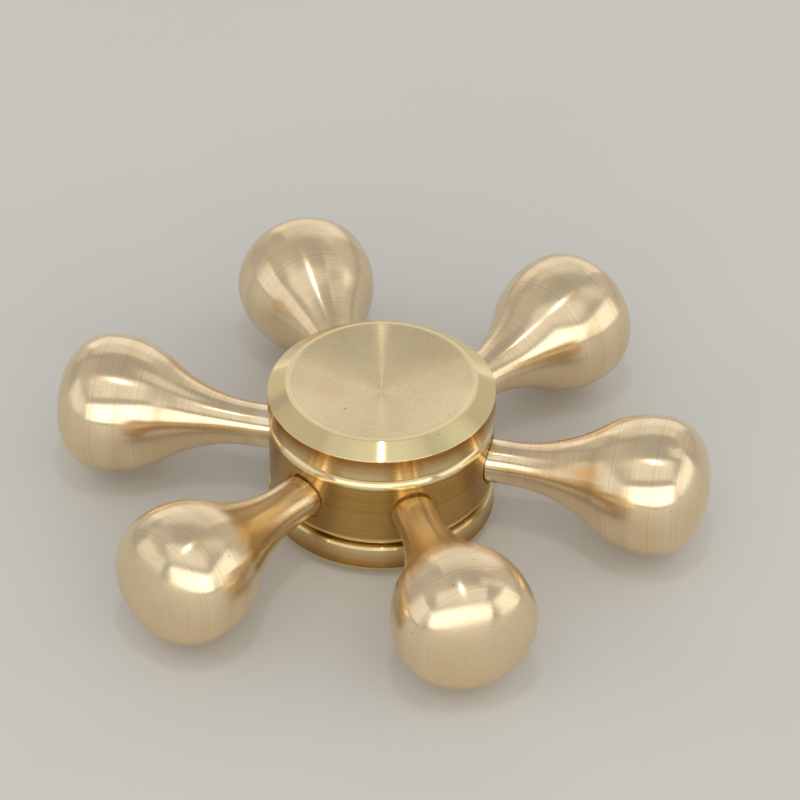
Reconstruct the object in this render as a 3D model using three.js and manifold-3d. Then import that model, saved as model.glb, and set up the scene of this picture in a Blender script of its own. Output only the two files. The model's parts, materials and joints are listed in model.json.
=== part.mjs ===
// A six-armed fidget spinner, turned from brass. Two finger buttons screw together through the inner race of
// a ball bearing, and a hub with six screwed-in arms spins on the outer race.
// Millimetres, +Z up. The spin axis is Z and the first arm points along +X. The origin is the middle of the
// circle that the lower button rests on.

import * as THREE from 'three';
import { mergeVertices } from 'three/addons/utils/BufferGeometryUtils.js';
import Module from 'manifold-3d';

const wasm = await Module();
wasm.setup();

// Facets round the axis.
const BODY_FACETS = 48;
const BEARING_FACETS = 36;
const ARM_FACETS = 18;
const SMALL_FACETS = 12;

// Finger buttons.
const TOTAL_HEIGHT = 14.77;
const BUTTON_RADIUS = 10.5;
const BUTTON_SIDE_TOP = 6.35;
const BUTTON_INNER_FACE = 3.97;
const BUTTON_EDGE_BREAK = 0.2;
const LAND_OUTER_RADIUS = 8.85;
const LAND_INNER_RADIUS = 8.55;
const DISH_DEPTH = 1.2;
const DISH_STEPS = 4;
const BOSS_RADIUS = 4.1;
const SLEEVE_RADIUS = 3.1;
const SLEEVE_TOP = 2.1;
const STUD_RADIUS = 1.95;
const STUD_HOLE_RADIUS = 2.1;
const STUD_LENGTH = 5.2;
const STUD_HOLE_FLOOR = 4.4;

// Hub.
const HUB_RADIUS = 10.4;
const HUB_HALF_HEIGHT = 3.87;
const HUB_EDGE_ROUND = 1.0;
const HUB_EDGE_STEPS = 3;
const HUB_SHOULDER_RADIUS = 5.6;

// Arms, measured outwards from the spin axis.
const ARM_COUNT = 6;
const ARM_ROOT = 10.15;
const NECK_RADIUS = 2.05;
const FLARE_START = 12.2;
const FLARE_ARC_RADIUS = 14;
const BULB_RADIUS = 6.5;
const BULB_AT = 25.8;
const TIP_AT = 30.8;
const NOSE_POWER = 2.3;
const FLARE_STEPS = 5;
const SWELL_STEPS = 3;
const NOSE_STEPS = 5;
const SCREW_RADIUS = 1.5;
const SCREW_LENGTH = 2.6;
const TAPPED_RADIUS = 1.6;
const TAPPED_DEPTH = 2.8;
const SEAT_RADIUS = 2.3;
const SEAT_DEPTH_AT = 10.12;

// Ball bearing: 6.35 bore, 12.7 outside, 4.762 wide.
const BEARING_BORE_RADIUS = 3.175;
const BEARING_RADIUS = 6.35;
const BEARING_HALF_WIDTH = 2.381;
const BALL_COUNT = 10;
const BALL_RADIUS = 0.794;
const BALL_PITCH_RADIUS = 4.7625;
const BALL_CLEARANCE = 0.04;
const GROOVE_RADIUS = 0.84;
const GROOVE_STEPS = 4;
const OUTER_LAND_RADIUS = 5.3;
const INNER_LAND_RADIUS = 4.22;
const RACE_EDGE_BREAK = 0.25;
const SHIELD_SEAT = 1.86;
const SHIELD_THICKNESS = 0.17;
const SHIELD_BORE_RADIUS = 4.34;
const SHIELD_RADIUS = 5.88;
const SHIELD_RECESS_RADIUS = 5.95;
const RING_SEAT = 2.07;
const RING_THICKNESS = 0.17;
const RING_BORE_RADIUS = 5.65;
const RING_RADIUS = 5.98;
const RING_GROOVE_RADIUS = 6.05;
const RING_GROOVE_TOP = 2.28;
const RING_MOUTH = THREE.MathUtils.degToRad(24);
const CAGE_BOTTOM = -1.25;
const CAGE_TOP = 0.5;
const CAGE_BORE_RADIUS = 4.42;
const CAGE_RADIUS = 5.12;
const POCKET_RADIUS = 0.9;

// Running and seating gap between two coaxial pieces.
const FIT_GAP = 0.02;
const HALF_HEIGHT = TOTAL_HEIGHT / 2;

const brass = () => new THREE.MeshStandardMaterial({ color: 0xcdb07a, roughness: 0.32, metalness: 1 });
const bearingSteel = () => new THREE.MeshStandardMaterial({ color: 0xb9bcc0, roughness: 0.22, metalness: 1 });
const ballSteel = () => new THREE.MeshStandardMaterial({ color: 0xd9dbde, roughness: 0.06, metalness: 1 });
const pressedSteel = () => new THREE.MeshStandardMaterial({ color: 0xa6a9ac, roughness: 0.38, metalness: 1 });

// A body of revolution about Z. The profile is a list of [radius, height], up the outside and down the inside.
function turned(profile, facets) {
  const points = profile.map(([radius, height]) => new THREE.Vector2(radius, height));
  return new THREE.LatheGeometry(points, facets).rotateX(Math.PI / 2);
}

// The same body laid along +X.
function turnedAlongX(profile, facets) {
  return turned(profile, facets).rotateY(Math.PI / 2);
}

// The list [radius, height] of a profile seen in a mirror at height 0, in the order that keeps it facing out.
function upsideDown(profile) {
  return profile.map(([radius, height]) => [radius, -height]).reverse();
}

function toManifold(geometry) {
  const bare = geometry.clone();
  bare.deleteAttribute('normal');
  bare.deleteAttribute('uv');
  const merged = mergeVertices(bare);
  return new wasm.Manifold(new wasm.Mesh({
    numProp: 3,
    vertProperties: merged.attributes.position.array,
    triVerts: Uint32Array.from(merged.index.array),
  }));
}

// One geometry less several others.
function cutAway(geometry, cutters) {
  const body = cutters.reduce((rest, cutter) => rest.subtract(toManifold(cutter)), toManifold(geometry));
  const { vertProperties, triVerts } = body.getMesh();
  const cut = new THREE.BufferGeometry();
  cut.setAttribute('position', new THREE.BufferAttribute(vertProperties, 3));
  cut.setIndex(new THREE.BufferAttribute(triVerts, 1));
  cut.computeVertexNormals();
  return cut;
}

function part(name, geometry, material) {
  const mesh = new THREE.Mesh(geometry, material);
  mesh.name = name;
  return mesh;
}

// The outside of a button from the edge of its inner face to the middle of its dish.
function buttonOutside() {
  const outline = [
    [BUTTON_RADIUS - BUTTON_EDGE_BREAK, BUTTON_INNER_FACE],
    [BUTTON_RADIUS, BUTTON_INNER_FACE + BUTTON_EDGE_BREAK],
    [BUTTON_RADIUS, BUTTON_SIDE_TOP],
    [LAND_OUTER_RADIUS, HALF_HEIGHT],
  ];
  const dishRadius = (LAND_INNER_RADIUS ** 2 + DISH_DEPTH ** 2) / (2 * DISH_DEPTH);
  const dishCentre = HALF_HEIGHT - DISH_DEPTH + dishRadius;
  for (let step = 0; step <= DISH_STEPS; step += 1) {
    const radius = LAND_INNER_RADIUS * (1 - step / DISH_STEPS);
    outline.push([radius, dishCentre - Math.sqrt(dishRadius ** 2 - radius ** 2)]);
  }
  return outline;
}

// A boss clamps the inner race and a stud screws down into the lower button's sleeve.
function topButton() {
  const bossFace = BEARING_HALF_WIDTH + FIT_GAP;
  const studTip = bossFace - STUD_LENGTH;
  return turned([
    [0, studTip],
    [STUD_RADIUS, studTip],
    [STUD_RADIUS, bossFace],
    [BOSS_RADIUS, bossFace],
    [BOSS_RADIUS, BUTTON_INNER_FACE],
    ...buttonOutside(),
  ], BODY_FACETS);
}

// The same button turned over, with a tapped sleeve that passes up through the inner race.
function bottomButton() {
  const bossFace = BEARING_HALF_WIDTH + FIT_GAP;
  return turned(upsideDown([
    [0, STUD_HOLE_FLOOR],
    [STUD_HOLE_RADIUS, STUD_HOLE_FLOOR],
    [STUD_HOLE_RADIUS, -SLEEVE_TOP],
    [SLEEVE_RADIUS, -SLEEVE_TOP],
    [SLEEVE_RADIUS, bossFace],
    [BOSS_RADIUS, bossFace],
    [BOSS_RADIUS, BUTTON_INNER_FACE],
    ...buttonOutside(),
  ]), BODY_FACETS);
}

// A stepped plug the shape of one arm's flat seat and tapped hole.
function armSocket() {
  const holeEnd = SEAT_DEPTH_AT - TAPPED_DEPTH;
  const outside = HUB_RADIUS + 1;
  return turnedAlongX([
    [0, holeEnd],
    [TAPPED_RADIUS, holeEnd],
    [TAPPED_RADIUS, SEAT_DEPTH_AT],
    [SEAT_RADIUS, SEAT_DEPTH_AT],
    [SEAT_RADIUS, outside],
    [0, outside],
  ], SMALL_FACETS);
}

// A quarter round at the hub's upper edge, from the side wall to the top face.
function hubEdge() {
  const edge = [];
  for (let step = 0; step <= HUB_EDGE_STEPS; step += 1) {
    const angle = (step / HUB_EDGE_STEPS) * (Math.PI / 2);
    edge.push([
      HUB_RADIUS - HUB_EDGE_ROUND * (1 - Math.cos(angle)),
      HUB_HALF_HEIGHT - HUB_EDGE_ROUND * (1 - Math.sin(angle)),
    ]);
  }
  return edge;
}

// A ring with the bearing's bore, a shoulder below the bearing and six sockets in its wall.
function hub() {
  const boreRadius = BEARING_RADIUS + FIT_GAP;
  const shoulderFace = -BEARING_HALF_WIDTH - FIT_GAP;
  const ring = turned([
    [HUB_SHOULDER_RADIUS, -HUB_HALF_HEIGHT],
    ...upsideDown(hubEdge()),
    ...hubEdge(),
    [boreRadius, HUB_HALF_HEIGHT],
    [boreRadius, shoulderFace],
    [HUB_SHOULDER_RADIUS, shoulderFace],
    [HUB_SHOULDER_RADIUS, -HUB_HALF_HEIGHT],
  ], BODY_FACETS);
  const sockets = armAngles().map((angle) => armSocket().rotateZ(angle));
  return cutAway(ring, sockets);
}

function armAngles() {
  return Array.from({ length: ARM_COUNT }, (_, index) => (index * 2 * Math.PI) / ARM_COUNT);
}

// A straight neck, a hollow flare and a round swell as two tangent arcs, and a blunt superellipse nose.
function arm() {
  const rise = BULB_RADIUS - NECK_RADIUS;
  const run = BULB_AT - FLARE_START;
  const bothArcs = (run ** 2 + rise ** 2) / (2 * rise);
  const swellArcRadius = bothArcs - FLARE_ARC_RADIUS;
  const flareEnd = FLARE_START + (run * FLARE_ARC_RADIUS) / bothArcs;
  const profile = [
    [0, ARM_ROOT - SCREW_LENGTH],
    [SCREW_RADIUS, ARM_ROOT - SCREW_LENGTH],
    [SCREW_RADIUS, ARM_ROOT],
    [NECK_RADIUS, ARM_ROOT],
  ];
  for (let step = 0; step < FLARE_STEPS; step += 1) {
    const along = ((flareEnd - FLARE_START) * step) / FLARE_STEPS;
    const hollow = FLARE_ARC_RADIUS - Math.sqrt(FLARE_ARC_RADIUS ** 2 - along ** 2);
    profile.push([NECK_RADIUS + hollow, FLARE_START + along]);
  }
  for (let step = 0; step < SWELL_STEPS; step += 1) {
    const left = (BULB_AT - flareEnd) * (1 - step / SWELL_STEPS);
    const fall = swellArcRadius - Math.sqrt(swellArcRadius ** 2 - left ** 2);
    profile.push([BULB_RADIUS - fall, BULB_AT - left]);
  }
  for (let step = 0; step <= NOSE_STEPS; step += 1) {
    const angle = (step / NOSE_STEPS) * (Math.PI / 2);
    profile.push([
      BULB_RADIUS * Math.cos(angle) ** (2 / NOSE_POWER),
      BULB_AT + (TIP_AT - BULB_AT) * Math.sin(angle) ** (2 / NOSE_POWER),
    ]);
  }
  profile[profile.length - 1][0] = 0;
  return turnedAlongX(profile, ARM_FACETS);
}

// An arc of a ball groove from its lower lip to its upper lip. Side is 1 for a groove that opens outwards.
function ballGroove(floorRadius, lipRadius, side) {
  const centre = floorRadius + side * GROOVE_RADIUS;
  const halfAngle = Math.acos((centre - lipRadius) / (side * GROOVE_RADIUS));
  const arc = [];
  for (let step = 0; step <= GROOVE_STEPS; step += 1) {
    const angle = halfAngle * ((2 * step) / GROOVE_STEPS - 1);
    arc.push([centre - side * GROOVE_RADIUS * Math.cos(angle), GROOVE_RADIUS * Math.sin(angle)]);
  }
  return arc;
}

// The step that a shield sits on and the groove that its ring springs into, from the land to the side face.
function shieldSeat() {
  return [
    [OUTER_LAND_RADIUS, SHIELD_SEAT],
    [SHIELD_RECESS_RADIUS, SHIELD_SEAT],
    [SHIELD_RECESS_RADIUS, RING_SEAT],
    [RING_GROOVE_RADIUS, RING_SEAT],
    [RING_GROOVE_RADIUS, RING_GROOVE_TOP],
    [SHIELD_RECESS_RADIUS, RING_GROOVE_TOP],
    [SHIELD_RECESS_RADIUS, BEARING_HALF_WIDTH],
  ];
}

function outerRace() {
  const grooveFloor = BALL_PITCH_RADIUS + BALL_RADIUS + BALL_CLEARANCE;
  const inside = [
    ...upsideDown(shieldSeat()),
    ...ballGroove(grooveFloor, OUTER_LAND_RADIUS, -1),
    ...shieldSeat(),
  ];
  const outside = [
    [BEARING_RADIUS - RACE_EDGE_BREAK, -BEARING_HALF_WIDTH],
    [BEARING_RADIUS, -BEARING_HALF_WIDTH + RACE_EDGE_BREAK],
    [BEARING_RADIUS, BEARING_HALF_WIDTH - RACE_EDGE_BREAK],
    [BEARING_RADIUS - RACE_EDGE_BREAK, BEARING_HALF_WIDTH],
  ];
  return turned([...outside, ...inside.reverse(), outside[0]], BEARING_FACETS);
}

function innerRace() {
  const grooveFloor = BALL_PITCH_RADIUS - BALL_RADIUS - BALL_CLEARANCE;
  const loop = [
    [BEARING_BORE_RADIUS, -BEARING_HALF_WIDTH],
    [INNER_LAND_RADIUS, -BEARING_HALF_WIDTH],
    ...ballGroove(grooveFloor, INNER_LAND_RADIUS, 1),
    [INNER_LAND_RADIUS, BEARING_HALF_WIDTH],
    [BEARING_BORE_RADIUS, BEARING_HALF_WIDTH],
  ];
  return turned([...loop, loop[0]], BEARING_FACETS);
}

function ballPlaces() {
  return Array.from({ length: BALL_COUNT }, (_, index) => {
    const angle = (index * 2 * Math.PI) / BALL_COUNT;
    return new THREE.Vector3(Math.cos(angle), Math.sin(angle), 0).multiplyScalar(BALL_PITCH_RADIUS);
  });
}

// A crown cage: a ring whose pockets are open at the top, so that it snaps over the balls.
function cage() {
  const loop = [
    [CAGE_BORE_RADIUS, CAGE_BOTTOM],
    [CAGE_RADIUS, CAGE_BOTTOM],
    [CAGE_RADIUS, CAGE_TOP],
    [CAGE_BORE_RADIUS, CAGE_TOP],
  ];
  const ring = turned([...loop, loop[0]], BEARING_FACETS);
  const pockets = ballPlaces().map((place) => {
    const pocket = new THREE.SphereGeometry(POCKET_RADIUS, SMALL_FACETS, SMALL_FACETS / 2);
    return pocket.translate(place.x, place.y, place.z);
  });
  return cutAway(ring, pockets);
}

// A thin steel washer that closes the gap between the races without touching the inner one.
function shield() {
  const loop = [
    [SHIELD_BORE_RADIUS, SHIELD_SEAT + FIT_GAP],
    [SHIELD_RADIUS, SHIELD_SEAT + FIT_GAP],
    [SHIELD_RADIUS, SHIELD_SEAT + FIT_GAP + SHIELD_THICKNESS],
    [SHIELD_BORE_RADIUS, SHIELD_SEAT + FIT_GAP + SHIELD_THICKNESS],
  ];
  return turned([...loop, loop[0]], BEARING_FACETS);
}

// A split ring that springs out into the outer race and holds a shield.
function shieldRing() {
  const outline = new THREE.Shape();
  outline.absarc(0, 0, RING_RADIUS, RING_MOUTH / 2, 2 * Math.PI - RING_MOUTH / 2, false);
  outline.absarc(0, 0, RING_BORE_RADIUS, 2 * Math.PI - RING_MOUTH / 2, RING_MOUTH / 2, true);
  const ring = new THREE.ExtrudeGeometry(outline, {
    depth: RING_THICKNESS,
    bevelEnabled: false,
    curveSegments: SMALL_FACETS,
  });
  return ring.translate(0, 0, RING_SEAT + FIT_GAP);
}

const spinner = new THREE.Group();
spinner.position.z = HALF_HEIGHT;

spinner.add(part('top_button', topButton(), brass()));
spinner.add(part('bottom_button', bottomButton(), brass()));
spinner.add(part('bearing_inner_race', innerRace(), bearingSteel()));

const rotor = new THREE.Group();
rotor.add(part('hub', hub(), brass()));
rotor.add(part('bearing_outer_race', outerRace(), bearingSteel()));
armAngles().forEach((angle, index) => {
  const mesh = part(`arm_${index + 1}`, arm(), brass());
  mesh.rotation.z = angle;
  rotor.add(mesh);
});
for (const side of ['top', 'bottom']) {
  const covers = new THREE.Group();
  covers.add(part(`bearing_shield_${side}`, shield(), pressedSteel()));
  covers.add(part(`shield_ring_${side}`, shieldRing(), pressedSteel()));
  covers.rotation.x = side === 'top' ? 0 : Math.PI;
  rotor.add(covers);
}
spinner.add(rotor);

const rolling = new THREE.Group();
rolling.add(part('bearing_cage', cage(), pressedSteel()));
ballPlaces().forEach((place, index) => {
  const ball = new THREE.SphereGeometry(BALL_RADIUS, SMALL_FACETS, SMALL_FACETS / 2);
  const mesh = part(`bearing_ball_${index + 1}`, ball, ballSteel());
  mesh.position.copy(place);
  rolling.add(mesh);
});
spinner.add(rolling);

export default spinner;
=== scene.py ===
"""A six-armed brass fidget spinner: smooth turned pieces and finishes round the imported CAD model."""
import json
import logging
import math
from dataclasses import dataclass, replace
from enum import Enum
from typing import Any, Callable, Mapping, Sequence

import bmesh
import bpy
from mathutils import Matrix, Quaternion, Vector

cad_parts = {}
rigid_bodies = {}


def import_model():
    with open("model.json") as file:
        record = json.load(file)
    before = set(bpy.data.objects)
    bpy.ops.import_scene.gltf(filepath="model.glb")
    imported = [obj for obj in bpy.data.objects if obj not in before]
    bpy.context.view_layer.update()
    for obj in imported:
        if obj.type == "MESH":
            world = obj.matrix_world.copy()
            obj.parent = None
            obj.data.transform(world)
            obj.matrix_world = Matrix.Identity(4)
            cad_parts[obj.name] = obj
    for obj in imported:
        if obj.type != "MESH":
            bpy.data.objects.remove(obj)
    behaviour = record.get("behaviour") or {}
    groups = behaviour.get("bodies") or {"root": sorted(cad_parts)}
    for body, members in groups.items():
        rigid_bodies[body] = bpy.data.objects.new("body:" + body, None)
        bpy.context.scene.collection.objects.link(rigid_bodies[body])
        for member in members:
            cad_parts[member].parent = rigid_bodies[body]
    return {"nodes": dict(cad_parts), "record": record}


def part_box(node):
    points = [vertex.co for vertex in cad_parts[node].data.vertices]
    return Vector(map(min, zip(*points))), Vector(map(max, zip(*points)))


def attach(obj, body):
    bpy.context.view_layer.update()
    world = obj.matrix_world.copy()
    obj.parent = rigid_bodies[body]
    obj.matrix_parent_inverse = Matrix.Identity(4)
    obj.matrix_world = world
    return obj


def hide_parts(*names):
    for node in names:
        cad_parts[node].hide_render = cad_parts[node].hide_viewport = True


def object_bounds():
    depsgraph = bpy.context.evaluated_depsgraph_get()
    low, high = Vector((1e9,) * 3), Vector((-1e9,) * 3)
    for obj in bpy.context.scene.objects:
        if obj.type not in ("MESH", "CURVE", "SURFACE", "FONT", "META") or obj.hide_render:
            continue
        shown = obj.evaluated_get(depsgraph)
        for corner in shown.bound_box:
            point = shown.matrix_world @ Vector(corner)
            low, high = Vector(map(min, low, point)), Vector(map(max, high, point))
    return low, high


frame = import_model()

CAD_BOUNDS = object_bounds()

MM = 0.001

# What each mesh tells its finish: the way the tool has travelled, in metres, and three shares from 0 to 1.
TOOL_PATH = "tool_path"
WEAR = "wear"
SATIN = "satin"
# The last share darkens the metal with tarnishing and with painted shade, as if sides and walls reflected a
# dark table.
TARNISH_AND_SHADE = "tarnish_and_shade"
MARKS = (TOOL_PATH, WEAR, SATIN, TARNISH_AND_SHADE)

# The middle of the hub's height, where the arms and the bearing sit.
MID_HEIGHT = sum(corner.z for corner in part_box("hub")) / 2 / MM

log = logging.getLogger("spinner")


class Spindle(Enum):
    """The axis that a piece was turned about."""

    X = "X"
    Z = "Z"


# ---------------------------------------------------------------------------------------------------------
# Turned outlines
# ---------------------------------------------------------------------------------------------------------

# A corner that turns less than this is smooth, or flat where an edge radius is given.
SMOOTH_TURN = math.radians(20)
NO_TURN = math.radians(1)
# Every sharp corner is broken to at least this radius, in mm.
EDGE_BREAK = 0.04
ROUNDING_STEP = math.radians(11)
# The most of a straight side that the rounding of one of its corners may take.
ROUNDING_SHARE = 0.45


@dataclass(frozen=True)
class Corner:
    """A corner of a turned outline.

    Attributes:
        radius: Distance from the axis, in mm.
        height: Place along the axis, in mm.
        edge: Radius that the corner is rounded to, in mm.
        satin: How grainy the surface is there, from 0 to 1.
        tarnish_and_shade: How far tarnishing and painted shade darken the surface there, from 0 to 1.
    """

    radius: float
    height: float
    edge: float = 0.0
    satin: float = 0.25
    tarnish_and_shade: float = 0.3


@dataclass(frozen=True)
class Station:
    """A place on a finished outline, with the way that the surface faces there.

    Attributes:
        place: Radius and height, in mm.
        facing: The surface's direction, as its radial and axial parts.
        wear: How far fingers have polished the surface, from 0 to 1. It is 1 on outer edges.
        satin: How grainy the surface is, from 0 to 1.
        tarnish_and_shade: How far tarnishing and painted shade darken the surface, from 0 to 1.
    """

    place: Vector
    facing: Vector
    wear: float = 0.0
    satin: float = 0.25
    tarnish_and_shade: float = 0.3


def to_the_right(way: Vector) -> Vector:
    """Returns the direction to the right of a way in the outline's plane, which is out of the metal."""
    return Vector((way.y, -way.x))


def turned_by(way: Vector, angle: float) -> Vector:
    """Returns a direction in the outline's plane, turned anticlockwise by an angle."""
    cosine, sine = math.cos(angle), math.sin(angle)
    return Vector((way.x * cosine - way.y * sine, way.x * sine + way.y * cosine))


def round_corner(before: Vector, corner: Corner, after: Vector) -> list[Station]:
    """Rounds one corner of an outline.

    Args:
        before: The place ahead of the corner, in mm.
        corner: The corner.
        after: The place past the corner.

    Returns:
        The stations round the corner: one where the outline hardly turns, several on an arc where it does.
    """
    here = Vector((corner.radius, corner.height))
    way_in, way_out = (here - before).normalized(), (after - here).normalized()
    turn = math.atan2(way_in.x * way_out.y - way_in.y * way_out.x, way_in.dot(way_out))
    if abs(turn) < (NO_TURN if corner.edge else SMOOTH_TURN):
        facing = to_the_right((way_in + way_out).normalized())
        return [Station(here, facing, satin=corner.satin, tarnish_and_shade=corner.tarnish_and_shade)]
    reach = min(
        max(corner.edge, EDGE_BREAK) * math.tan(abs(turn) / 2),
        ROUNDING_SHARE * (here - before).length,
        ROUNDING_SHARE * (after - here).length,
    )
    radius = reach / math.tan(abs(turn) / 2)
    side = math.copysign(1.0, turn)
    facing = to_the_right(way_in)
    centre = here - way_in * reach - facing * radius * side
    steps = max(2, math.ceil(abs(turn) / ROUNDING_STEP))
    stations = []
    for step in range(steps + 1):
        outward = turned_by(facing, turn * step / steps)
        place = centre + outward * radius * side
        stations.append(Station(place, outward, max(side, 0.0), corner.satin, corner.tarnish_and_shade))
    return stations


def outline_of(corners: Sequence[Corner], closed: bool = False) -> list[Station]:
    """Finishes an outline: rounds its corners and finds the way that it faces.

    Args:
        corners: The corners in order, up the outside of the metal and down the inside.
        closed: Whether the last corner joins the first one. If not, both lie on the axis.

    Returns:
        The outline's stations.
    """
    places = [Vector((corner.radius, corner.height)) for corner in corners]
    count = len(places)
    stations: list[Station] = []
    for index, (corner, here) in enumerate(zip(corners, places)):
        if not closed and index in (0, count - 1):
            end = Vector((0.0, -1.0 if index == 0 else 1.0))
            stations.append(Station(here, end, satin=corner.satin, tarnish_and_shade=corner.tarnish_and_shade))
            continue
        stations += round_corner(places[index - 1], corner, places[(index + 1) % count])
    return stations


def mirrored(corners: Sequence[Corner]) -> list[Corner]:
    """Returns an outline turned upside down, in the order that keeps the metal inside it."""
    return [replace(corner, height=-corner.height) for corner in reversed(corners)]


@dataclass(frozen=True)
class Thread:
    """A right-handed screw thread cut into a straight stretch of an outline.

    Attributes:
        start: Height where the thread begins, in mm.
        end: Height where it ends, in mm.
        radius: Radius of the blank that it is cut into, in mm.
        pitch: Distance between turns, in mm.
        depth: Depth of the groove, in mm.
    """

    start: float
    end: float
    radius: float
    pitch: float
    depth: float

    STEPS_A_TURN = 10
    ROOT_FLAT = 0.2
    RUN_OUT_TURNS = 0.8

    def corners(self) -> list[Corner]:
        """Spaces corners along the thread, so that there are vertices to cut it with.

        Returns:
            The corners, from the thread's start to its end.
        """
        count = round(abs(self.end - self.start) / self.pitch * self.STEPS_A_TURN)
        span = self.end - self.start
        return [Corner(self.radius, self.start + span * index / count) for index in range(count + 1)]

    def radius_at(self, radius: float, height: float, angle: float) -> float:
        """Gives the radius of the threaded surface.

        Args:
            radius: The outline's radius there, in mm.
            height: Place along the axis, in mm.
            angle: Angle round the axis, in radians.

        Returns:
            The radius in mm, unchanged away from the thread.
        """
        low, high = sorted((self.start, self.end))
        if abs(radius - self.radius) > EDGE_BREAK or not low <= height <= high:
            return radius
        phase = (height / self.pitch - angle / (2 * math.pi)) % 1.0
        groove = min(1.0, (1 - abs(2 * phase - 1)) * (1 + self.ROOT_FLAT))
        run_out = min(height - low, high - height) / (self.RUN_OUT_TURNS * self.pitch)
        return radius - self.depth * groove * min(1.0, max(0.0, run_out))


# ---------------------------------------------------------------------------------------------------------
# Turned meshes
# ---------------------------------------------------------------------------------------------------------

ON_AXIS = 1e-6


@dataclass
class Blank:
    """A piece of bar on the lathe: an outline spun round its axis into a mesh.

    Attributes:
        name: Name of the mesh.
        stations: The finished outline.
        closed: Whether the outline closes on itself, as on a ring.
        facets: Number of facets round the axis.
        spindle: The axis that the outline is spun about.
        threads: The screw threads cut into it.
    """

    name: str
    stations: list[Station]
    closed: bool
    facets: int
    spindle: Spindle = Spindle.Z
    threads: Sequence[Thread] = ()

    def spun(self, place: Vector, angle: float) -> Vector:
        """Gives the point where an outline's place stands at an angle round the axis.

        Args:
            place: Radius and height.
            angle: Angle round the axis, in radians.

        Returns:
            The point, with the axis along this blank's spindle.
        """
        across, along = place.x * math.cos(angle), place.x * math.sin(angle)
        if self.spindle is Spindle.X:
            return Vector((place.y, along, -across))
        return Vector((across, along, place.y))

    def threaded(self, place: Vector, angle: float) -> Vector:
        """Cuts every thread into a place on the outline.

        Args:
            place: Radius and height, in mm.
            angle: Angle round the axis, in radians.

        Returns:
            The place on the cut surface.
        """
        radius = place.x
        for thread in self.threads:
            radius = thread.radius_at(radius, place.y, angle)
        return Vector((radius, place.y))

    def mesh(self) -> bpy.types.Mesh:
        """Spins the outline.

        Returns:
            The mesh in metres, with the tool's path, wear, grain, and the share of tarnishing and painted
            shade as attributes.
        """
        work = bmesh.new()
        path, wear, satin, tarnish_and_shade = [work.verts.layers.float.new(name) for name in MARKS]
        facings: list[Vector] = []
        rings: list[list[bmesh.types.BMVert]] = []
        travelled = 0.0
        previous = self.stations[0].place
        for station in self.stations:
            travelled += (station.place - previous).length
            previous = station.place
            count = 1 if station.place.x < ON_AXIS else self.facets
            ring = []
            for index in range(count):
                angle = 2 * math.pi * index / self.facets
                cut = self.threaded(station.place, angle)
                vertex = work.verts.new(self.spun(cut, angle) * MM)
                vertex[path] = travelled * MM
                vertex[wear], vertex[satin], vertex[tarnish_and_shade] = station.wear, station.satin, station.tarnish_and_shade
                in_thread = any(self.in_thread(thread, station) for thread in self.threads)
                facings.append(Vector() if in_thread else self.spun(station.facing, angle))
                ring.append(vertex)
            rings.append(ring)
        pairs = list(zip(rings, rings[1:] + ([rings[0]] if self.closed else [])))
        for lower, upper in pairs:
            self.join(work, lower, upper)
        made = bpy.data.meshes.new(self.name)
        work.to_mesh(made)
        work.free()
        made.shade_smooth()
        made.normals_split_custom_set_from_vertices(facings)
        return made

    @staticmethod
    def in_thread(thread: Thread, station: Station) -> bool:
        """Tells whether a station lies on a thread, where the facing comes from the cut itself.

        Args:
            thread: The thread.
            station: The station.

        Returns:
            True if the thread is cut there.
        """
        low, high = sorted((thread.start, thread.end))
        close = abs(station.place.x - thread.radius) < EDGE_BREAK
        return close and low <= station.place.y <= high

    def join(
        self,
        work: bmesh.types.BMesh,
        lower: Sequence[bmesh.types.BMVert],
        upper: Sequence[bmesh.types.BMVert],
    ) -> None:
        """Fills the band between two rings of vertices.

        Args:
            work: The mesh in the making.
            lower: The ring that comes first on the outline, or one vertex on the axis.
            upper: The ring after it, or one vertex on the axis.
        """
        for index in range(self.facets):
            following = (index + 1) % self.facets
            if len(lower) == 1:
                work.faces.new((lower[0], upper[following], upper[index]))
            elif len(upper) == 1:
                work.faces.new((lower[index], lower[following], upper[0]))
            else:
                work.faces.new((lower[index], lower[following], upper[following], upper[index]))


def turned(
    name: str,
    corners: Sequence[Corner],
    facets: int,
    closed: bool = False,
    spindle: Spindle = Spindle.Z,
    threads: Sequence[Thread] = (),
) -> bpy.types.Mesh:
    """Turns an outline into a mesh.

    Args:
        name: Name of the mesh.
        corners: The outline's corners, in mm.
        facets: Number of facets round the axis.
        closed: Whether the outline closes on itself.
        spindle: The axis to turn about.
        threads: The screw threads to cut.

    Returns:
        The mesh, in metres.
    """
    return Blank(name, outline_of(corners, closed), closed, facets, spindle, threads).mesh()


# ---------------------------------------------------------------------------------------------------------
# Placing pieces
# ---------------------------------------------------------------------------------------------------------

BODY_OF = {node: body for body, nodes in frame["record"]["behaviour"]["bodies"].items() for node in nodes}


def fit_piece(node: str, mesh: bpy.types.Mesh, finish: bpy.types.Material, place: Matrix) -> bpy.types.Object:
    """Puts a finished piece where its CAD node is and lets it move with that node's body.

    Args:
        node: The CAD node that the piece stands for.
        mesh: The piece's mesh, in metres.
        finish: Its material.
        place: Where the mesh goes in the spinner.

    Returns:
        The new object.
    """
    piece = bpy.data.objects.new(f"{node}_finished", mesh)
    bpy.context.scene.collection.objects.link(piece)
    piece.matrix_world = place
    mesh.materials.clear()
    mesh.materials.append(finish)
    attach(piece, BODY_OF[node])
    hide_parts(node)
    log.info("%s: %d faces, rides on %s", piece.name, len(mesh.polygons), BODY_OF[node])
    return piece


def at_mid_height(turn: float = 0.0) -> Matrix:
    """Returns the place at the middle of the hub, turned about the spin axis by an angle in radians."""
    return Matrix.Translation((0.0, 0.0, MID_HEIGHT * MM)) @ Matrix.Rotation(turn, 4, "Z")


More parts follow.
